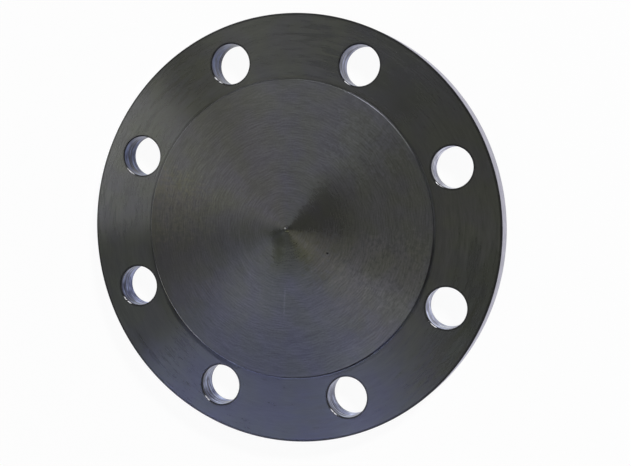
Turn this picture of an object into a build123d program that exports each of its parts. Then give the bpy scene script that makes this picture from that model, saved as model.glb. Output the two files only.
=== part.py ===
from build123d import *
import os

# Blind flange for a 100 mm pipe, turned and drilled from one steel plate. Sizes are in millimetres.
# It lies on its back face with the raised gasket face up. The origin is the centre of the back
# face, +Z runs along the plate's axis, and the bolt holes straddle the X and Y axes.

# The bolt holes, drilled through the plate and countersunk lightly on both sides
bolt_circle_diameter = 165.0
bolt_hole_count = 8
bolt_hole_diameter = 19.0
bolt_hole_edge_break = 0.5
first_hole_angle = 360.0 / bolt_hole_count / 2

# The ring that the holes go through, and the metal it leaves between them and the rim
ring_thickness = 12.5
land_outside_holes = 8.0
rim_edge_break = 0.5
outside_diameter = bolt_circle_diameter + bolt_hole_diameter + 2 * land_outside_holes

# The raised gasket face, and the metal left between its step and the holes
raised_face_height = 2.0
land_inside_holes = 3.5
raised_face_edge_break = 0.3
root_radius = 0.8
raised_face_diameter = bolt_circle_diameter - bolt_hole_diameter - 2 * land_inside_holes

# The mark that the facing tool leaves where it reaches the axis, a shallow cone
centre_mark_diameter = 2.4
centre_mark_depth = 0.4

# How far the form of the drill runs past each side of the ring
cut_overrun = 0.4


def turned_section():
    """Half section of the plate in the XZ plane, from the axis out to the rim and back."""
    rim = outside_diameter / 2
    step = raised_face_diameter / 2
    face_top = ring_thickness + raised_face_height
    with BuildSketch(Plane.XZ) as section:
        with BuildLine():
            Polyline(
                (0, 0),
                (rim - rim_edge_break, 0),
                (rim, rim_edge_break),
                (rim, ring_thickness - rim_edge_break),
                (rim - rim_edge_break, ring_thickness),
                (step + root_radius, ring_thickness),
            )
            TangentArc(
                (step + root_radius, ring_thickness),
                (step, ring_thickness + root_radius),
                tangent=(-1, 0),
            )
            Polyline(
                (step, ring_thickness + root_radius),
                (step, face_top - raised_face_edge_break),
                (step - raised_face_edge_break, face_top),
                (centre_mark_diameter / 2, face_top),
                (0, face_top - centre_mark_depth),
                (0, 0),
            )
        make_face()
    return section.sketch


def drill_section():
    """Half section of what the drill and the countersinks take out, about the hole's own axis."""
    bore = bolt_hole_diameter / 2
    mouth = bore + bolt_hole_edge_break + cut_overrun
    with BuildSketch(Plane.XZ) as section:
        with BuildLine():
            Polyline(
                (0, -cut_overrun),
                (mouth, -cut_overrun),
                (bore, bolt_hole_edge_break),
                (bore, ring_thickness - bolt_hole_edge_break),
                (mouth, ring_thickness + cut_overrun),
                (0, ring_thickness + cut_overrun),
                close=True,
            )
        make_face()
    return section.sketch


def blind_flange():
    """The whole plate: turned to its section, then drilled on the bolt circle."""
    hole_form = revolve(drill_section(), axis=Axis.Z)
    with BuildPart() as flange:
        add(revolve(turned_section(), axis=Axis.Z))
        with PolarLocations(bolt_circle_diameter / 2, bolt_hole_count, start_angle=first_hole_angle):
            add(hole_form, mode=Mode.SUBTRACT)
    return flange.part


os.makedirs("parts", exist_ok=True)
export_step(blind_flange(), "parts/blind_flange.step")
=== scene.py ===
import bmesh
import bpy
import math
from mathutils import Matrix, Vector


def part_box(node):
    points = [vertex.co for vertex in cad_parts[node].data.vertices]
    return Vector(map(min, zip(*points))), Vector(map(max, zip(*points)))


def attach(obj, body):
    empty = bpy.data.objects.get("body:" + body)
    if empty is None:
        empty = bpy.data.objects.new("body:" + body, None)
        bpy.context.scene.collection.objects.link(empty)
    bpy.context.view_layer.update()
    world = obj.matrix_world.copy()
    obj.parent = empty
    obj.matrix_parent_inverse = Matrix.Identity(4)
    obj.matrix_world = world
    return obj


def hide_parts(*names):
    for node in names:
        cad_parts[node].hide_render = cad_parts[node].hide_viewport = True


# Blind flange for a 100 mm pipe, lying on its back with the raised gasket face up. It is one
# plate of mild steel, turned and drilled here with mesh tools so that each cut surface can have
# its own finish.
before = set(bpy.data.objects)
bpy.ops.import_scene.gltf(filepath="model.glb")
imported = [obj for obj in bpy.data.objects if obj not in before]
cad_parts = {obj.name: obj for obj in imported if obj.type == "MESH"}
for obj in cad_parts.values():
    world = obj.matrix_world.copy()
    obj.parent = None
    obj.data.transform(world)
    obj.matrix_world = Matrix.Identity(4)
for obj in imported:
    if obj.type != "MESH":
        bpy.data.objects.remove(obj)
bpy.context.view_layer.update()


def mm(length):
    """Millimetres to the scene's metres."""
    return length / 1000.0


def linear(hex_colour):
    """An sRGB hex colour as linear RGBA."""
    channels = [int(hex_colour[i:i + 2], 16) / 255.0 for i in (1, 3, 5)]
    return [c / 12.92 if c <= 0.04045 else ((c + 0.055) / 1.055) ** 2.4 for c in channels] + [1.0]


# The plate's own sizes, in millimetres. Its outside comes from the frame's box.
low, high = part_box("blind_flange")
RIM_RADIUS = (high.x - low.x) / 2 * 1000.0
PLATE_TOP = (high.z - low.z) * 1000.0
FACE_HEIGHT = 2.0
RING_TOP = PLATE_TOP - FACE_HEIGHT
FACE_RADIUS = 69.5
ROOT_RADIUS = 0.8
FACE_EDGE = 0.3
RIM_EDGE = 0.5
MARK_RADIUS = 1.2
MARK_DEPTH = 0.4
MARK_TAPER = 0.9            # how much of its radius the centre mark loses on the way down
BOLT_CIRCLE_RADIUS = 82.5
BOLT_HOLES = 8
HOLE_STEP = 2 * math.pi / BOLT_HOLES
FIRST_HOLE = math.radians(22.5)
BORE_RADIUS = 9.5
BORE_EDGE = 0.5
BORE_MOUTH = BORE_RADIUS + BORE_EDGE
DRILL_OVERRUN = 0.4
RIM_SEGMENTS = 384
BORE_SEGMENTS = 96
SMOOTH_ANGLE = math.radians(32)

# How surfaces are told apart: within this many millimetres, and by how far a normal points up
NEAR = 0.05
LEVEL = 0.99
STEEP = 0.5


# Modelling helpers: every selection is made by place or direction, as a hand would pick it
def edit(piece):
    bpy.ops.object.select_all(action="DESELECT")
    bpy.context.view_layer.objects.active = piece
    piece.select_set(True)
    bpy.ops.object.mode_set(mode="EDIT")
    bpy.ops.mesh.select_all(action="DESELECT")


def leave():
    bpy.ops.object.mode_set(mode="OBJECT")


def select_faces(piece, test):
    """Selects the faces whose middle, in millimetres, and direction pass the test."""
    bpy.ops.mesh.select_mode(type="FACE")
    bpy.ops.mesh.select_all(action="DESELECT")
    shape = bmesh.from_edit_mesh(piece.data)
    for face in shape.faces:
        face.select_set(bool(test(face.calc_center_median() * 1000.0, face.normal)))
    bmesh.update_edit_mesh(piece.data)


def inset(thickness):
    bpy.ops.mesh.inset(thickness=mm(thickness), depth=0, use_even_offset=True, use_boundary=True)


def raise_face(height):
    bpy.ops.mesh.extrude_region_move(TRANSFORM_OT_translate={"value": (0, 0, mm(height))})


def shape_circle(piece, radius, height, size, segments):
    """Breaks the turned edge at this radius and height, or fills it where it is a corner."""
    bpy.ops.mesh.select_mode(type="EDGE")
    bpy.ops.mesh.select_all(action="DESELECT")
    shape = bmesh.from_edit_mesh(piece.data)
    for edge in shape.edges:
        ends = [vert.co * 1000.0 for vert in edge.verts]
        edge.select_set(all(
            abs(end.xy.length - radius) < NEAR and abs(end.z - height) < NEAR for end in ends
        ))
    bmesh.update_edit_mesh(piece.data)
    bpy.ops.mesh.bevel(offset=mm(size), offset_type="OFFSET", segments=segments, affect="EDGES")


def top_disc(centre, normal):
    """The closed disc about the axis on the plate's front."""
    return normal.z > LEVEL and centre.xy.length < NEAR


# The flange, turned from a round plate
bpy.ops.object.select_all(action="DESELECT")
bpy.ops.mesh.primitive_cylinder_add(
    vertices=RIM_SEGMENTS, radius=mm(RIM_RADIUS), depth=mm(RING_TOP), end_fill_type="NGON",
    location=(0, 0, mm(RING_TOP / 2)),
)
flange = bpy.context.object
flange.name = "turned_flange"
flange.data.name = "turned_flange"
bpy.ops.object.transform_apply(location=True, rotation=True, scale=True)

edit(flange)
select_faces(flange, top_disc)
inset(RIM_RADIUS - FACE_RADIUS - ROOT_RADIUS - FACE_EDGE)
inset(ROOT_RADIUS + FACE_EDGE)
raise_face(FACE_HEIGHT)
inset(2 * FACE_EDGE)
inset(FACE_RADIUS - 2 * FACE_EDGE - MARK_RADIUS)
inset(MARK_RADIUS * MARK_TAPER)
bpy.ops.transform.translate(value=(0, 0, -mm(MARK_DEPTH)))

shape_circle(flange, FACE_RADIUS, RING_TOP, ROOT_RADIUS, segments=6)
shape_circle(flange, FACE_RADIUS, PLATE_TOP, FACE_EDGE, segments=3)
shape_circle(flange, RIM_RADIUS, 0, RIM_EDGE, segments=2)
shape_circle(flange, RIM_RADIUS, RING_TOP, RIM_EDGE, segments=2)
leave()

# One drill with its countersinks, spun round the bolt circle and cut away from the plate
bpy.ops.object.select_all(action="DESELECT")
hole_centre = Vector((
    BOLT_CIRCLE_RADIUS * math.cos(FIRST_HOLE), BOLT_CIRCLE_RADIUS * math.sin(FIRST_HOLE), 0,
))
bpy.ops.mesh.primitive_cylinder_add(
    vertices=BORE_SEGMENTS, radius=mm(BORE_RADIUS), depth=mm(RING_TOP - 2 * BORE_EDGE),
    end_fill_type="NGON", location=(mm(hole_centre.x), mm(hole_centre.y), mm(RING_TOP / 2)),
)
drill = bpy.context.object
bpy.ops.object.transform_apply(location=True, rotation=True, scale=True)
edit(drill)
flare = BORE_EDGE + DRILL_OVERRUN
wide = (BORE_RADIUS + flare) / BORE_RADIUS
for side in (-1, 1):
    select_faces(drill, lambda centre, normal: normal.z * side > LEVEL)
    raise_face(side * flare)
    bpy.ops.transform.resize(
        value=(wide, wide, 1), center_override=(mm(hole_centre.x), mm(hole_centre.y), 0),
    )
bpy.ops.mesh.select_all(action="SELECT")
bpy.ops.mesh.spin(
    steps=BOLT_HOLES - 1, dupli=True, angle=HOLE_STEP * (BOLT_HOLES - 1),
    center=(0, 0, 0), axis=(0, 0, 1),
)
leave()

bpy.ops.object.select_all(action="DESELECT")
bpy.context.view_layer.objects.active = flange
flange.select_set(True)
cut = flange.modifiers.new("bolt_holes", "BOOLEAN")
cut.operation = "DIFFERENCE"
cut.solver = "EXACT"
cut.object = drill
bpy.ops.object.modifier_apply(modifier=cut.name)
bpy.data.objects.remove(drill)
bpy.ops.object.shade_smooth_by_angle(angle=SMOOTH_ANGLE)
even = flange.modifiers.new("flat_faces_stay_flat", "WEIGHTED_NORMAL")
even.keep_sharp = True
even.weight = 100
bpy.ops.object.modifier_apply(modifier=even.name)

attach(flange, "root")
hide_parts("blind_flange")


# Materials. The way that each part was cut gives it its look, so each is named for that, and
# painted light and shade are laid on several of them.
# Patterns are in millimetres. The tool's feed is about 0.2 mm on both faces, too fine to show
# where a pixel is 0.4 mm, so it is drawn coarser: as short marks a pixel apart, as broader ones
# every 2 mm, and as faint rings every 1.25 mm that wander and come and go.
FINE_PITCH, FINE_ARC = 0.4, 5.0
COARSE_PITCH, COARSE_ARC = 2.0, 14.0
RING_PITCH = 1.25
RING_WANDER = 9.0
RING_SLIP = 26.0            # how far the rings wander, in radians of their wave
RING_PATCH = 7.0
FAINT_RING = 0.2            # what is left of the rings where they are faintest
TONE_PATCH = 13.0
CLOUD_SIZE = 0.9
DULL_PATCH = 5 / 3
FLANK_LEAN = 0.1            # the side of a feed groove that faces outwards is the wider one
SCALED_METAL = 0.7          # scale and oil hide part of the metal
FACE_GLOSS_SWING = 0.04
WALL_GLOSS_SWING = 0.2
STREAK_FLATNESS = 1.6       # a streak on a wall is so much longer than it is high

# Noise keeps near 0.5, so a pattern runs between these two of its values
MARK_SPAN = 0.27, 0.73
PATCH_SPAN = 0.35, 0.65
LINE_SPAN = 0.38, 0.62
GLOSS_SPAN = 0.25, 0.75
GLINT_SPAN = 0.42, 0.52

ADD = {"operation": "ADD"}
SUBTRACT = {"operation": "SUBTRACT"}
MULTIPLY = {"operation": "MULTIPLY"}
MULTIPLY_ADD = {"operation": "MULTIPLY_ADD"}
MAXIMUM = {"operation": "MAXIMUM"}
SCALE = {"operation": "SCALE"}
LENGTH = {"operation": "LENGTH"}
DIRECTION = {"operation": "NORMALIZE"}
DOT = {"operation": "DOT_PRODUCT"}
CROSS = {"operation": "CROSS_PRODUCT"}
SOFT_STEP = {"interpolation_type": "SMOOTHSTEP"}
STRAIGHT = {"clamp": False}
BLEND = {"data_type": "RGBA"}
TINT = {"data_type": "RGBA", "blend_type": "MULTIPLY"}
UP = (0, 0, 1)


def new_material(name):
    material = bpy.data.materials.new(name)
    material.use_nodes = True
    material.node_tree.nodes.clear()
    return material


def node(m, kind, settings, inputs, output=0):
    """Adds one node with its settings. Each input, in order or by name, is a value or the socket
    that feeds it. Gives back the output that is asked for."""
    made = m.node_tree.nodes.new(kind)
    for key, value in settings.items():
        setattr(made, key, value)
    for key, value in inputs.items() if isinstance(inputs, dict) else enumerate(inputs):
        if isinstance(value, bpy.types.NodeSocket):
            m.node_tree.links.new(value, made.inputs[key])
        else:
            made.inputs[key].default_value = value
    return made.outputs[output] if len(made.outputs) else None


def place_on_plate(m):
    """Where the point is, in millimetres: in space, on the flat and from the axis, and which way
    out from the axis it lies."""
    metres = node(m, "ShaderNodeTexCoord", {}, (), "Object")
    place = node(m, "ShaderNodeVectorMath", SCALE, {0: metres, "Scale": 1000.0})
    flat = node(m, "ShaderNodeVectorMath", MULTIPLY, (place, (1, 1, 0)))
    radius = node(m, "ShaderNodeVectorMath", LENGTH, (flat,), "Value")
    outward = node(m, "ShaderNodeVectorMath", DIRECTION, (flat,))
    return place, flat, radius, outward


def place_by_hole(m, flat):
    """How far the point is from the axis of the nearest bolt hole, in millimetres, and which way
    out from that axis it lies."""
    x = node(m, "ShaderNodeSeparateXYZ", {}, (flat,), "X")
    y = node(m, "ShaderNodeSeparateXYZ", {}, (flat,), "Y")
    angle = node(m, "ShaderNodeMath", {"operation": "ARCTAN2"}, (y, x))
    share = node(m, "ShaderNodeMath", {"operation": "SNAP"}, (angle, HOLE_STEP))
    to_hole = node(m, "ShaderNodeMath", ADD, (share, FIRST_HOLE))
    across = node(m, "ShaderNodeMath", {"operation": "COSINE"}, (to_hole,))
    up = node(m, "ShaderNodeMath", {"operation": "SINE"}, (to_hole,))
    hole = node(m, "ShaderNodeCombineXYZ", {}, (across, up, 0.0))
    hole = node(m, "ShaderNodeVectorMath", SCALE, {0: hole, "Scale": BOLT_CIRCLE_RADIUS})
    away = node(m, "ShaderNodeVectorMath", SUBTRACT, (flat, hole))
    reach = node(m, "ShaderNodeVectorMath", LENGTH, (away,), "Value")
    return reach, node(m, "ShaderNodeVectorMath", DIRECTION, (away,))


def sector(m, way, middle, half, soft):
    """1 where a way points within half of the middle, in degrees, fading out over the soft ones."""
    aim = (math.cos(math.radians(middle)), math.sin(math.radians(middle)), 0)
    along = node(m, "ShaderNodeVectorMath", DOT, (way, aim), "Value")
    inner, outer = math.cos(math.radians(half)), math.cos(math.radians(half + soft))
    return node(m, "ShaderNodeMapRange", SOFT_STEP, (along, outer, inner, 0.0, 1.0))


def fan(m, radius, way, middle, half, soft, full, gone):
    """A sector between two radii: whole at the full one, and faded out at the gone one."""
    deep = node(m, "ShaderNodeMapRange", SOFT_STEP, (radius, gone, full, 0.0, 1.0))
    return node(m, "ShaderNodeMath", MULTIPLY, (sector(m, way, middle, half, soft), deep))


def band(m, radius, inner, outer, soft):
    """1 between two radii, fading out inwards and outwards over the soft width."""
    rising = node(m, "ShaderNodeMapRange", SOFT_STEP, (radius, inner - soft, inner, 0.0, 1.0))
    falling = node(m, "ShaderNodeMapRange", SOFT_STEP, (radius, outer + soft, outer, 0.0, 1.0))
    return node(m, "ShaderNodeMath", MULTIPLY, (rising, falling))


def spot(m, place, centre, half_axes, soft=1.6):
    """An oval mark on the front, fading out at soft times its size."""
    away = node(m, "ShaderNodeVectorMath", SUBTRACT, (place, (*centre, 0)))
    shrink = (1 / half_axes[0], 1 / half_axes[1], 0)
    share = node(m, "ShaderNodeVectorMath", MULTIPLY, (away, shrink))
    reach = node(m, "ShaderNodeVectorMath", LENGTH, (share,), "Value")
    return node(m, "ShaderNodeMapRange", SOFT_STEP, (reach, soft, 1.0, 0.0, 1.0))


def lay_stains_and_painted_light(m, skin, layers):
    """Lays stains and painted light and shade over the steel, one after another: where each is, and
    its tint.
    """
    for where, tint in layers:
        skin = node(m, "ShaderNodeMix", TINT, {0: where, 6: skin, 7: (*tint, 1.0)}, 2)
    return skin


def lay_stains_and_painted_light_in_fans(m, skin, radius, way, rows):
    """Lays fans of stain and of painted light and shade. A row is a fan's middle, half width and
    soft border in degrees, the radii in millimetres where it is whole and gone, and its tint."""
    return lay_stains_and_painted_light(m, skin, [(fan(m, radius, way, *where), tint) for *where, tint in rows])


def lay_stains_and_painted_light_in_sectors(m, skin, way, rows):
    """Lays stains and painted light and shade that reach all the way out. A row is the middle, half
    width and soft border in degrees, and the tint."""
    return lay_stains_and_painted_light(m, skin, [(sector(m, way, *where), tint) for *where, tint in rows])


def ragged(m, flat, spread, whole, grain):
    """A point or a way thrown off a little by noise, so that a fan or a spot gets a ragged border.
    """
    where = node(m, "ShaderNodeVectorMath", SCALE, {0: flat, "Scale": 1 / grain})
    noise = {"Vector": where, "Scale": 1.0, "Detail": 2.0}
    throw = node(m, "ShaderNodeTexNoise", {}, noise, "Color")
    even = node(m, "ShaderNodeVectorMath", SUBTRACT, (throw, (0.5, 0.5, 0)))
    return node(m, "ShaderNodeVectorMath", MULTIPLY_ADD, (even, (spread, spread, 0), whole))


def cutter_marks(m, flat, radius, pitch, arc):
    """Short marks of the cutter round the axis, one pitch apart and about one arc long."""
    turns = node(m, "ShaderNodeMath", {"operation": "DIVIDE"}, (radius, pitch))
    lift = node(m, "ShaderNodeCombineXYZ", {}, {"Z": turns})
    spread = node(m, "ShaderNodeVectorMath", MULTIPLY_ADD, (flat, (1 / arc, 1 / arc, 0), lift))
    return node(m, "ShaderNodeTexNoise", {}, {"Vector": spread, "Scale": 1.0, "Detail": 1.0})


def combed(m, flat, radius, outward, spread):
    """The way out, thrown off ring by ring, so that a fan's border is combed along the rings."""
    marks = cutter_marks(m, flat, radius, COARSE_PITCH, COARSE_ARC)
    throw = node(m, "ShaderNodeMath", MULTIPLY_ADD, (marks, spread, -spread / 2))
    along = node(m, "ShaderNodeVectorMath", CROSS, (UP, outward))
    thrown = node(m, "ShaderNodeVectorMath", SCALE, {0: along, "Scale": throw})
    return node(m, "ShaderNodeVectorMath", ADD, (outward, thrown))


def feed_rings(m, flat, radius, depth):
    """Rings of the tool's feed, which wander and come and go, as a shade about 1."""
    where = node(m, "ShaderNodeVectorMath", SCALE, {0: flat, "Scale": 1 / RING_WANDER})
    wander = node(m, "ShaderNodeTexNoise", {}, {"Vector": where, "Scale": 1.0, "Detail": 1.0})
    wander = node(m, "ShaderNodeMath", MULTIPLY, (wander, RING_SLIP))
    turn = node(m, "ShaderNodeMath", MULTIPLY_ADD, (radius, 2 * math.pi / RING_PITCH, wander))
    wave = node(m, "ShaderNodeMath", {"operation": "SINE"}, (turn,))
    where = node(m, "ShaderNodeVectorMath", SCALE, {0: flat, "Scale": 1 / RING_PATCH})
    patch = node(m, "ShaderNodeTexNoise", {}, {"Vector": where, "Scale": 1.0, "Detail": 1.0})
    fades = (patch, *PATCH_SPAN, FAINT_RING * depth, depth)
    strength = node(m, "ShaderNodeMapRange", SOFT_STEP, fades)
    return node(m, "ShaderNodeMath", MULTIPLY_ADD, (wave, strength, 1.0))


def two_toned(m, noise, colours):
    """Steel that goes from one colour to the other in patches of the noise."""
    share = node(m, "ShaderNodeMapRange", SOFT_STEP, (noise, *PATCH_SPAN, 0.0, 1.0))
    first, second = linear(colours[0]), linear(colours[1])
    return node(m, "ShaderNodeMix", BLEND, {0: share, 6: first, 7: second}, 2)


def turned_steel(name, colours, roughness, anisotropy, marks, dress):
    """Mild steel faced on a lathe and left dark by its scale and oil. The eye sees dark grey with
    a soft sheen, and the rings about the axis pull every light into a fan of bright and dark."""
    m = new_material(name)
    place, flat, radius, outward = place_on_plate(m)

    where = node(m, "ShaderNodeVectorMath", SCALE, {0: flat, "Scale": 1 / TONE_PATCH})
    patches = node(m, "ShaderNodeTexNoise", {}, {"Vector": where, "Scale": 1.0, "Detail": 1.0})
    skin = two_toned(m, patches, colours)

    fine = cutter_marks(m, flat, radius, FINE_PITCH, FINE_ARC)
    coarse = cutter_marks(m, flat, radius, COARSE_PITCH, COARSE_ARC)
    where = node(m, "ShaderNodeVectorMath", SCALE, {0: flat, "Scale": 1 / CLOUD_SIZE})
    cloud = node(m, "ShaderNodeTexNoise", {}, {"Vector": where, "Scale": 1.0, "Detail": 2.0})
    for noise, mark in ((fine, "fine"), (coarse, "coarse"), (cloud, "cloud")):
        shades = (noise, *MARK_SPAN, 1.0 - marks[mark], 1.0 + marks[mark])
        tone = node(m, "ShaderNodeMapRange", SOFT_STEP, shades)
        skin = node(m, "ShaderNodeVectorMath", SCALE, {0: skin, "Scale": tone})
    tone = feed_rings(m, flat, radius, marks["rings"])
    skin = node(m, "ShaderNodeVectorMath", SCALE, {0: skin, "Scale": tone})
    skin = dress(m, skin, place, flat, radius, outward)

    normal = node(m, "ShaderNodeNewGeometry", {}, (), "Normal")
    along = node(m, "ShaderNodeVectorMath", CROSS, (UP, outward))
    across = node(m, "ShaderNodeVectorMath", CROSS, (along, normal))
    least, most = FLANK_LEAN - marks["lean"], FLANK_LEAN + marks["lean"]
    lean = node(m, "ShaderNodeMapRange", STRAIGHT, (fine, *GLOSS_SPAN, least, most))
    leaning = node(m, "ShaderNodeVectorMath", SCALE, {0: outward, "Scale": lean})
    tilted = node(m, "ShaderNodeVectorMath", ADD, (normal, leaning))
    tilted = node(m, "ShaderNodeVectorMath", DIRECTION, (tilted,))
    least, most = roughness * (1 - FACE_GLOSS_SWING), roughness * (1 + FACE_GLOSS_SWING)
    rough = node(m, "ShaderNodeMapRange", STRAIGHT, (cloud, *GLOSS_SPAN, least, most))
    shader = node(m, "ShaderNodeBsdfPrincipled", {}, {
        "Base Color": skin, "Metallic": SCALED_METAL, "Roughness": rough,
        "Anisotropic": anisotropy, "Normal": tilted, "Tangent": across,
    })
    node(m, "ShaderNodeOutputMaterial", {}, (shader,))
    return m


def leave_plain(m, skin, place, flat, radius, outward):
    """The back has no stains of its own."""
    return skin


def dress_ring_with_stains_and_painted_light(m, skin, place, flat, radius, outward):
    """The ring has painted shade in the corner of the step, where the step's shadow falls, and
    painted dark lines along its rim and round the holes. Its soft fans are partly stains and wear
    and partly painted reflection, with one worn streak. The fans that are wide have borders combed
    by the cutter, and the narrow ones are plain, so that they don't break up."""
    # Painted shade: dark lines round the holes and along the rim.
    reach, _ = place_by_hole(m, flat)
    hole_shade = (reach, BORE_MOUTH + 0.7, BORE_MOUTH + 0.2, 0.0, 1.0)
    painted_light_by_hole = node(m, "ShaderNodeMapRange", SOFT_STEP, hole_shade)
    rim = RIM_RADIUS - RIM_EDGE
    painted_shade_by_rim = node(m, "ShaderNodeMapRange", SOFT_STEP, (radius, rim - 0.8, rim - 0.2, 0.0, 1.0))
    skin = lay_stains_and_painted_light(m, skin, [(painted_light_by_hole, (0.72, 0.72, 0.72)), (painted_shade_by_rim, (0.5, 0.5, 0.5))])
    # The first three fans are the painted shadow of the step in its corner; the rest are partly
    # stains and partly painted reflection.
    skin = lay_stains_and_painted_light_in_fans(m, skin, radius, outward, (
        (231, 11, 12, 71.7, 72.8, (0.56, 0.56, 0.57)),
        (154, 22, 12, 70.9, 71.6, (0.64, 0.64, 0.64)),
        (300, 8, 10, 71.1, 72.1, (0.84, 0.84, 0.84)),
        (204, 5, 18, 80.0, 66.0, (1.26, 1.28, 1.26)),
        (222, 4, 12, 72.0, 100.0, (0.94, 0.93, 0.82)),
        (54, 4, 10, 78.0, 98.0, (0.87, 0.87, 0.84)),
    ))
    rub = sector(m, outward, 220.5, 3, 5), band(m, radius, 93.8, 94.0, 2.4)
    rub = node(m, "ShaderNodeMath", MULTIPLY, rub)
    skin = lay_stains_and_painted_light(m, skin, [(rub, (0.82, 0.82, 0.8))])
    # These fans are partly stains and partly painted reflection, lighter and darker in sectors as
    # the light falls.
    way = combed(m, flat, radius, outward, 0.9)
    return lay_stains_and_painted_light_in_fans(m, skin, radius, way, (
        (60, 8, 18, 80.0, 66.0, (0.84, 0.84, 0.84)),
        (340, 10, 14, 86.0, 72.0, (0.82, 0.84, 0.82)),
        (158, 10, 16, 80.0, 66.0, (0.92, 0.92, 0.92)),
        (298, 8, 16, 80.0, 66.0, (0.92, 0.93, 1.04)),
        (131, 3, 7, 86.0, 78.0, (0.9, 0.9, 0.9)),
        (142, 8, 12, 86.0, 72.0, (1.05, 1.05, 1.04)),
        (100, 14, 20, 80.0, 66.0, (0.98, 0.98, 0.9)),
        (318, 6, 8, 92.0, 83.0, (0.97, 0.96, 0.88)),
        (358, 8, 12, 80.0, 66.0, (1.08, 1.08, 1.07)),
    ))


def dress_face_with_stains_and_painted_light(m, skin, place, flat, radius, outward):
    """The raised face has a painted dark reflection in a wedge near its centre, an olive bloom
    round the centre and fainter fans beyond them that are partly stains and partly painted
    reflection, two dark ragged spots, a scratch, a pit, and the mark on the axis with painted shade
    and highlights."""
    way = ragged(m, flat, 0.3, outward, 2.0)
    # The first fan is a painted dark reflection; the others are partly stains and partly painted
    # reflection.
    skin = lay_stains_and_painted_light_in_fans(m, skin, radius, way, (
        (25, 16, 24, 20.0, 45.0, (0.63, 0.62, 0.6)),
        (268, 28, 32, 12.0, 26.0, (0.86, 0.86, 0.72)),
        (216, 20, 18, 6.0, 13.0, (0.72, 0.74, 0.64)),
        (274, 24, 20, 10.0, 18.0, (0.9, 0.9, 0.78)),
        (246, 44, 14, 7.6, 9.2, (0.82, 0.82, 0.77)),
        (280, 24, 14, 18.0, 25.0, (0.89, 0.89, 0.83)),
        (245, 14, 12, 24.0, 36.0, (0.93, 0.94, 0.93)),
        (318, 10, 12, 24.0, 36.0, (0.92, 0.91, 0.83)),
        (326, 18, 24, 12.0, 26.0, (1.13, 1.13, 1.0)),
        (274, 38, 30, 40.0, 60.0, (1.16, 1.15, 1.08)),
        (333, 8, 20, 60.0, 80.0, (1.05, 1.03, 0.98)),
        (172, 8, 5, 60.0, 16.0, (1.13, 1.12, 1.05)),
        (190, 22, 14, 58.0, 26.0, (1.02, 0.99, 0.91)),
        (118, 18, 20, 22.0, 64.0, (1.03, 1.01, 1.14)),
        (343, 7, 10, 44.0, 8.0, (1.16, 1.16, 1.17)),
        (47, 5, 10, 44.0, 26.0, (1.13, 1.14, 1.16)),
    ))
    blotch_place = ragged(m, flat, 5.0, place, 2.5)
    broken = ragged(m, flat, 1.2, place, 1.2)
    return lay_stains_and_painted_light(m, skin, [(spot(m, *where), tint) for *where, tint in (
        (blotch_place, (-4.2, -4.0), (1.6, 2.6), 2.6, (0.76, 0.76, 0.74)),
        (blotch_place, (-3.9, -11.0), (1.2, 2.6), 2.8, (0.78, 0.79, 0.74)),
        (broken, (0.2, -34.0), (0.35, 5.5), (1.2, 1.2, 1.22)),
        (place, (20.2, -10.0), (0.45, 0.35), (0.2, 0.2, 0.2)),
        # Painted shade round the centre mark, and painted highlights on its upper left and its
        # lower edge.
        (place, (0.0, 0.0), (1.5, 1.5), (0.72, 0.72, 0.7)),
        (place, (-0.75, 0.4), (0.34, 0.34), (5.0, 5.0, 5.0)),
        (place, (0.1, -0.95), (0.7, 0.28), (2.3, 2.3, 2.2)),
    )])


def paint_step_edge_highlights_and_shade(m, skin, place, flat, radius, outward):
    """The edge and the corner of the step carry painted shade, except for two arcs along the top of
    the edge that carry painted highlights."""
    # Painted shade, lighter and darker in sectors round the step.
    dull = lay_stains_and_painted_light(m, skin, [(1.0, (0.6, 0.6, 0.6))])
    dull = lay_stains_and_painted_light_in_sectors(m, dull, outward, (
        (240, 22, 14, (1.08, 1.0, 0.84)),
        (285, 28, 12, (0.5, 0.5, 0.5)),
        (326, 8, 10, (1.6, 1.6, 1.6)),
        (346, 8, 8, (0.72, 0.72, 0.72)),
        (14, 8, 12, (1.5, 1.5, 1.5)),
        (58, 12, 10, (0.55, 0.55, 0.55)),
        (94, 12, 12, (1.6, 1.6, 1.6)),
    ))
    # Painted highlights, brightest at the upper right and the lower left.
    bright = lay_stains_and_painted_light_in_sectors(m, skin, outward, (
        (58, 26, 10, (2.1, 2.1, 2.2)),
        (57, 2, 7, (1.6, 1.6, 1.66)),
        (41, 3, 5, (1.6, 1.6, 1.6)),
        (215, 11, 12, (4.8, 4.5, 4.1)),
        (240, 12, 10, (0.95, 0.88, 0.74)),
    ))
    # The painted highlights lie in two arcs, lower left and upper right, along the top of the edge.
    lower_left, upper_right = sector(m, outward, 226, 22, 12), sector(m, outward, 72, 34, 12)
    painted_highlight_share = node(m, "ShaderNodeMath", MAXIMUM, (lower_left, upper_right))
    height = node(m, "ShaderNodeSeparateXYZ", {}, (place,), "Z")
    near_top = (height, RING_TOP + 1.2, RING_TOP + 1.6, 0.0, 1.0)
    high = node(m, "ShaderNodeMapRange", SOFT_STEP, near_top)
    painted_highlight_share = node(m, "ShaderNodeMath", MULTIPLY, (painted_highlight_share, high))
    return node(m, "ShaderNodeMix", BLEND, {0: painted_highlight_share, 6: dull, 7: bright}, 2)


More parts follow.
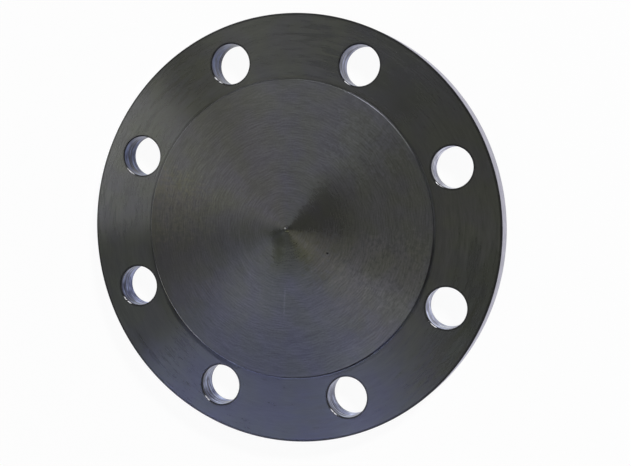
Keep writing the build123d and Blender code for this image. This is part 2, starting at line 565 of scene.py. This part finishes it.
def edge_steel_painted_dark_with_glint(name, colours, glint_colour):
    """Steel on a broken edge or in a corner, painted dark as painted shade: the eye sees a dark
    line without sheen. A painted glint lies on the outer part of each hole's edge, towards its
    lower left."""
    m = new_material(name)
    place, flat, _, _ = place_on_plate(m)
    where = node(m, "ShaderNodeVectorMath", SCALE, {0: place, "Scale": 1 / DULL_PATCH})
    cover = node(m, "ShaderNodeTexNoise", {}, {"Vector": where, "Scale": 1.0, "Detail": 3.0})
    tone = two_toned(m, cover, colours)
    # A painted glint on the outer part of each hole's edge, towards its lower left, broken up by
    # noise.
    reach, to_side = place_by_hole(m, flat)
    lip = band(m, reach, BORE_MOUTH - 0.26, BORE_MOUTH + 0.1, 0.1)
    painted_light_by_hole = node(m, "ShaderNodeMath", MULTIPLY, (sector(m, to_side, 233, 9, 8), lip))
    broken = node(m, "ShaderNodeMapRange", SOFT_STEP, (cover, *GLINT_SPAN, 0.0, 1.0))
    painted_light_by_hole = node(m, "ShaderNodeMath", MULTIPLY, (painted_light_by_hole, broken))
    tone = node(m, "ShaderNodeMix", BLEND, {0: painted_light_by_hole, 6: tone, 7: linear(glint_colour)}, 2)
    shader = node(m, "ShaderNodeBsdfPrincipled", {}, {
        "Base Color": tone, "Metallic": 0.0, "Roughness": 0.6, "Specular IOR Level": 0.1,
    })
    node(m, "ShaderNodeOutputMaterial", {}, (shader,))
    return m


def machined_wall(name, colours, roughness, pitch, arc, depth, streak, dress):
    """Bare steel cut round a wall, as a rim or a bore is. The eye sees pale or bluish metal, partly
    the bare steel and partly painted light for the brighter light these walls catch, with fine
    lines round the wall, and streaks where the cutter wore it. The feed of about 0.3 mm is too fine
    to show, so the lines are drawn about one pitch apart, and an arc long."""
    m = new_material(name)
    place, flat, radius, outward = place_on_plate(m)
    stretch = (1 / arc, 1 / arc, 1 / pitch)
    where = node(m, "ShaderNodeVectorMath", MULTIPLY, (place, stretch))
    lines = node(m, "ShaderNodeTexNoise", {}, {"Vector": where, "Scale": 1.0, "Detail": 2.0})
    stretch = (1 / streak, 1 / streak, STREAK_FLATNESS / streak)
    where = node(m, "ShaderNodeVectorMath", MULTIPLY, (place, stretch))
    streaks = node(m, "ShaderNodeTexNoise", {}, {"Vector": where, "Scale": 1.0, "Detail": 2.0})
    skin = two_toned(m, streaks, colours)
    shades = (lines, *LINE_SPAN, 1.0 - depth, 1.0 + depth)
    tone = node(m, "ShaderNodeMapRange", SOFT_STEP, shades)
    skin = node(m, "ShaderNodeVectorMath", SCALE, {0: skin, "Scale": tone})
    skin = dress(m, skin, place, flat, radius, outward)
    least, most = roughness * (1 - WALL_GLOSS_SWING), roughness * (1 + WALL_GLOSS_SWING)
    rough = node(m, "ShaderNodeMapRange", STRAIGHT, (lines, *GLOSS_SPAN, least, most))
    across_lines = node(m, "ShaderNodeCombineXYZ", {}, {"Z": 1.0})
    shader = node(m, "ShaderNodeBsdfPrincipled", {}, {
        "Base Color": skin, "Metallic": 1.0, "Roughness": rough, "Anisotropic": 0.5,
        "Tangent": across_lines,
    })
    node(m, "ShaderNodeOutputMaterial", {}, (shader,))
    return m


def paint_rim_back_edge_shade(m, skin, place, flat, radius, outward):
    """The rim is darker along its back edge: painted shade."""
    height = node(m, "ShaderNodeSeparateXYZ", {}, (place,), "Z")
    painted_shade_by_back = node(m, "ShaderNodeMapRange", SOFT_STEP, (height, 2.6, 1.2, 0.0, 1.0))
    return lay_stains_and_painted_light(m, skin, [(painted_shade_by_back, (0.8, 0.8, 0.8))])


def dress_bores_with_painted_light(m, skin, place, flat, radius, outward):
    """The holes carry painted light, lighter towards the plate's lower right, and a painted bluish
    reflection towards its left; each has a tint of its own, partly its own tone and partly painted
    light, and a painted highlight on its lower side."""
    # Painted light: the walls are lighter towards the plate's lower right.
    side = node(m, "ShaderNodeVectorMath", DOT, (place, (0.93, -0.37, 0)), "Value")
    along_plate = (side, -BOLT_CIRCLE_RADIUS, BOLT_CIRCLE_RADIUS, 0.7, 1.55)
    painted_light_across_plate = node(m, "ShaderNodeMapRange", STRAIGHT, along_plate)
    painted_light_across_plate = node(m, "ShaderNodeMath", {"operation": "POWER"}, (painted_light_across_plate, 2.0))
    skin = node(m, "ShaderNodeVectorMath", SCALE, {0: skin, "Scale": painted_light_across_plate})
    # A painted highlight on the lower side of each hole's wall.
    _, to_side = place_by_hole(m, flat)
    skin = lay_stains_and_painted_light_in_sectors(m, skin, to_side, ((262, 8, 22, (1.7, 1.75, 1.7)),))
    # Each hole's tint, partly its own tone and partly painted light; the wide first one is a
    # painted bluish reflection on the holes to the left.
    return lay_stains_and_painted_light_in_sectors(m, skin, outward, (
        (157.5, 52, 16, (0.97, 1.06, 1.33)),
        (22.5, 14, 6, (1.48, 1.38, 1.2)),
        (67.5, 14, 6, (0.84, 0.84, 0.9)),
        (112.5, 14, 6, (0.72, 0.75, 0.77)),
        (157.5, 14, 6, (1.02, 1.06, 1.14)),
        (202.5, 14, 6, (1.38, 1.34, 1.3)),
        (247.5, 14, 6, (1.04, 1.07, 1.14)),
        (292.5, 14, 6, (0.78, 0.78, 0.8)),
        (337.5, 14, 6, (1.06, 1.04, 0.97)),
    ))


# How strong each pattern is on the coarsely and the finely turned steel, and their colours
COARSE_CUT = {"fine": 0.07, "coarse": 0.06, "cloud": 0.025, "lean": 0.0, "rings": 0.03}
FINE_CUT = {"fine": 0.11, "coarse": 0.04, "cloud": 0.06, "lean": 0.006, "rings": 0.07}
RING_STEEL = ("#53554F", "#525352")
FACE_STEEL = ("#595B57", "#595A5C")
# The rim's pale and the bores' bluish colours are partly the bare cut steel and partly painted
# light, for the brighter light that these walls catch.
RIM_STEEL = ("#9A98AA", "#A9A7B7")
BORE_STEEL = ("#33364E", "#707488")
# Painted shade: the step's corner and the front edges of the rim and holes are painted dark.
CORNER_STEEL = ("#404040", "#4E4E4E")
EDGE_STEEL = ("#1A1A1A", "#2C2C2C")
FINISHES = {
    "ring": turned_steel(
        "coarse_turned_mild_steel", RING_STEEL, roughness=0.26, anisotropy=0.9,
        marks=COARSE_CUT, dress=dress_ring_with_stains_and_painted_light,
    ),
    "raised face": turned_steel(
        "fine_turned_mild_steel", FACE_STEEL, roughness=0.22, anisotropy=0.7,
        marks=FINE_CUT, dress=dress_face_with_stains_and_painted_light,
    ),
    "rim": machined_wall(
        "turned_rim_steel", RIM_STEEL, roughness=0.35,
        pitch=0.8, arc=8.0, depth=0.15, streak=4.0, dress=paint_rim_back_edge_shade,
    ),
    "bore": machined_wall(
        "drilled_bore_steel", BORE_STEEL, roughness=0.3,
        pitch=1.0, arc=18.0, depth=0.7, streak=5.0, dress=dress_bores_with_painted_light,
    ),
    # The step carries painted highlights and shade, and its corner and the front edges carry
    # painted shade.
    "step": turned_steel(
        "step_steel_painted_highlights_and_shade", FACE_STEEL, roughness=0.34, anisotropy=0.7,
        marks=FINE_CUT, dress=paint_step_edge_highlights_and_shade,
    ),
    "dull step": edge_steel_painted_dark_with_glint("step_corner_painted_shade", CORNER_STEEL, glint_colour="#4E4E4E"),
    "front edge": edge_steel_painted_dark_with_glint("front_edge_painted_shade_and_glint", EDGE_STEEL, glint_colour="#E4E4E8"),
    "back": turned_steel(
        "back_turned_mild_steel", RING_STEEL, roughness=0.26, anisotropy=0.9,
        marks=COARSE_CUT, dress=leave_plain,
    ),
}
DULL_SIDES = (118, 196), (250, 308)     # degrees round the step where it has the corner's painted shade and no painted highlight


def from_hole(centre):
    """How far a point is from the axis of the nearest bolt hole, in millimetres."""
    turns = round((math.atan2(centre.y, centre.x) - FIRST_HOLE) / HOLE_STEP)
    angle = FIRST_HOLE + turns * HOLE_STEP
    return (centre.xy - Vector((math.cos(angle), math.sin(angle))) * BOLT_CIRCLE_RADIUS).length


def on_back(centre, normal):
    return normal.z < -STEEP


def on_raised_face(centre, normal):
    return centre.xy.length < FACE_RADIUS + NEAR and centre.z > RING_TOP + NEAR


def on_rim(centre, normal):
    return centre.xy.length > RIM_RADIUS - RIM_EDGE - NEAR and abs(normal.z) < LEVEL


def in_bore(centre, normal):
    return from_hole(centre) < BORE_RADIUS + NEAR and abs(normal.z) < STEEP


def on_step(centre, normal):
    near_step = abs(centre.xy.length - FACE_RADIUS) < ROOT_RADIUS + NEAR
    return near_step and centre.z > RING_TOP + NEAR and normal.z < LEVEL


def on_dull_step(centre, normal):
    side = math.degrees(math.atan2(centre.y, centre.x)) % 360
    return on_step(centre, normal) and any(start < side < end for start, end in DULL_SIDES)


def on_front_edge(centre, normal):
    at_hole = STEEP < normal.z < LEVEL and from_hole(centre) < BORE_MOUTH
    at_rim = on_rim(centre, normal) and centre.xy.length > RIM_RADIUS - RIM_EDGE
    return centre.z > RING_TOP - RIM_EDGE and (at_hole or at_rim)


# The whole plate starts with the first finish, the ring's, and then each other surface gets its own
flange.data.materials.clear()
for finish in FINISHES.values():
    flange.data.materials.append(finish)
edit(flange)
for surface, test in (
    ("back", on_back),
    ("raised face", on_raised_face),
    ("rim", on_rim),
    ("bore", in_bore),
    ("step", on_step),
    ("dull step", on_dull_step),
    ("front edge", on_front_edge),
):
    select_faces(flange, test)
    flange.active_material_index = list(FINISHES).index(surface)
    bpy.ops.object.material_slot_assign()
leave()

# The pale floor and the low wall round it: they show white, and keep a light shadow of the plate
FLOOR_RADIUS = 5.0
WALL_HEIGHT = 1.0
WHITE_SHARE = 0.95
bpy.ops.object.select_all(action="DESELECT")
bpy.ops.mesh.primitive_circle_add(
    vertices=128, radius=FLOOR_RADIUS, fill_type="NGON", location=(0, 0, 0),
)
floor = bpy.context.object
floor.name = "floor"
edit(floor)
bpy.ops.mesh.select_mode(type="EDGE")
bpy.ops.mesh.select_all(action="SELECT")
bpy.ops.mesh.extrude_edges_move(TRANSFORM_OT_translate={"value": (0, 0, WALL_HEIGHT)})
leave()
m = new_material("white_studio_floor")
paint = node(m, "ShaderNodeBsdfDiffuse", {}, {"Color": linear("#E6E6E6")})
glow = node(m, "ShaderNodeEmission", {}, {"Color": (1, 1, 1, 1), "Strength": 1.0})
white = node(m, "ShaderNodeMixShader", {}, (WHITE_SHARE, paint, glow))
seen = 0.0
for ray in ("Is Camera Ray", "Is Glossy Ray", "Is Transmission Ray"):
    path = node(m, "ShaderNodeLightPath", {}, (), ray)
    seen = node(m, "ShaderNodeMath", MAXIMUM, (seen, path))
both = node(m, "ShaderNodeMixShader", {}, (seen, paint, white))
node(m, "ShaderNodeOutputMaterial", {}, (both,))
floor.data.materials.append(m)

# Studio: a dim ceiling and soft boxes round the plate
world = bpy.data.worlds.new("studio")
bpy.context.scene.world = world
world.use_nodes = True
world.node_tree.nodes["Background"].inputs["Color"].default_value = linear("#FFFFFF")
world.node_tree.nodes["Background"].inputs["Strength"].default_value = 0.05

# name: azimuth, elevation, half angles across and up, brightness, colour, and what it lights
BOX_DISTANCE = 3.0
SOFT_BOXES = {
    "overhead_left": (182, 63.5, 16, 4.5, 0.57, "#FFF9E4", "both"),
    "cool_front_strip": (255, 39.5, 35.5, 4, 19, "#B5BEFF", "glossy"),
    "left_box": (169, 15.5, 15, 19, 8.5, "#F5F4FF", "glossy"),
    "back_left_strip": (136, 48, 5.5, 30, 0.75, "#E6E6FF", "both"),
    "front_tall_strip": (259, 48, 4, 30, 1.75, "#E4E5FF", "both"),
    "overhead_front": (233, 62, 20, 8, 0.68, "#C7CDFF", "both"),
    "overhead_back": (124, 76, 17, 29, 0.2, "#FFF9E4", "both"),
    "left_fill": (167, 47.5, 7, 9, 0.8, "#FFFAEC", "both"),
    "edge_light": (72, 7, 14, 4.5, 10, "#F8F8FF", "glossy"),
    "key": (50, 40, 3.5, 3.5, 200, "#FFFFFF", "diffuse"),
}
for name, (azimuth, elevation, across, up, brightness, colour, lights) in SOFT_BOXES.items():
    lamp = bpy.data.lights.new(name, "AREA")
    lamp.shape = "RECTANGLE"
    lamp.size = 2 * BOX_DISTANCE * math.tan(math.radians(across))
    lamp.size_y = 2 * BOX_DISTANCE * math.tan(math.radians(up))
    lamp.color = linear(colour)[:3]
    lamp.energy = brightness * math.pi * lamp.size * lamp.size_y
    holder = bpy.data.objects.new(name, lamp)
    bpy.context.scene.collection.objects.link(holder)
    a, e = math.radians(azimuth), math.radians(elevation)
    away = Vector((math.cos(e) * math.cos(a), math.cos(e) * math.sin(a), math.sin(e)))
    holder.location = away * BOX_DISTANCE
    holder.rotation_euler = away.to_track_quat("Z", "Y").to_euler()
    holder.visible_camera = False
    holder.visible_diffuse = lights != "glossy"
    holder.visible_glossy = lights != "diffuse"

# The camera, a little to the right of the plate's axis
view = bpy.data.cameras.new("camera")
view.lens = 66.32
view.sensor_width = 36.0
view.clip_start = 0.01
view.clip_end = 50.0
camera = bpy.data.objects.new("camera", view)
bpy.context.scene.collection.objects.link(camera)
camera.location = (mm(179.2), mm(33.0), mm(523.2))
camera.rotation_euler = [math.radians(v) for v in (-2.97, 18.09, 2.14)]
bpy.context.scene.camera = camera
bpy.context.scene.view_settings.view_transform = "Standard"
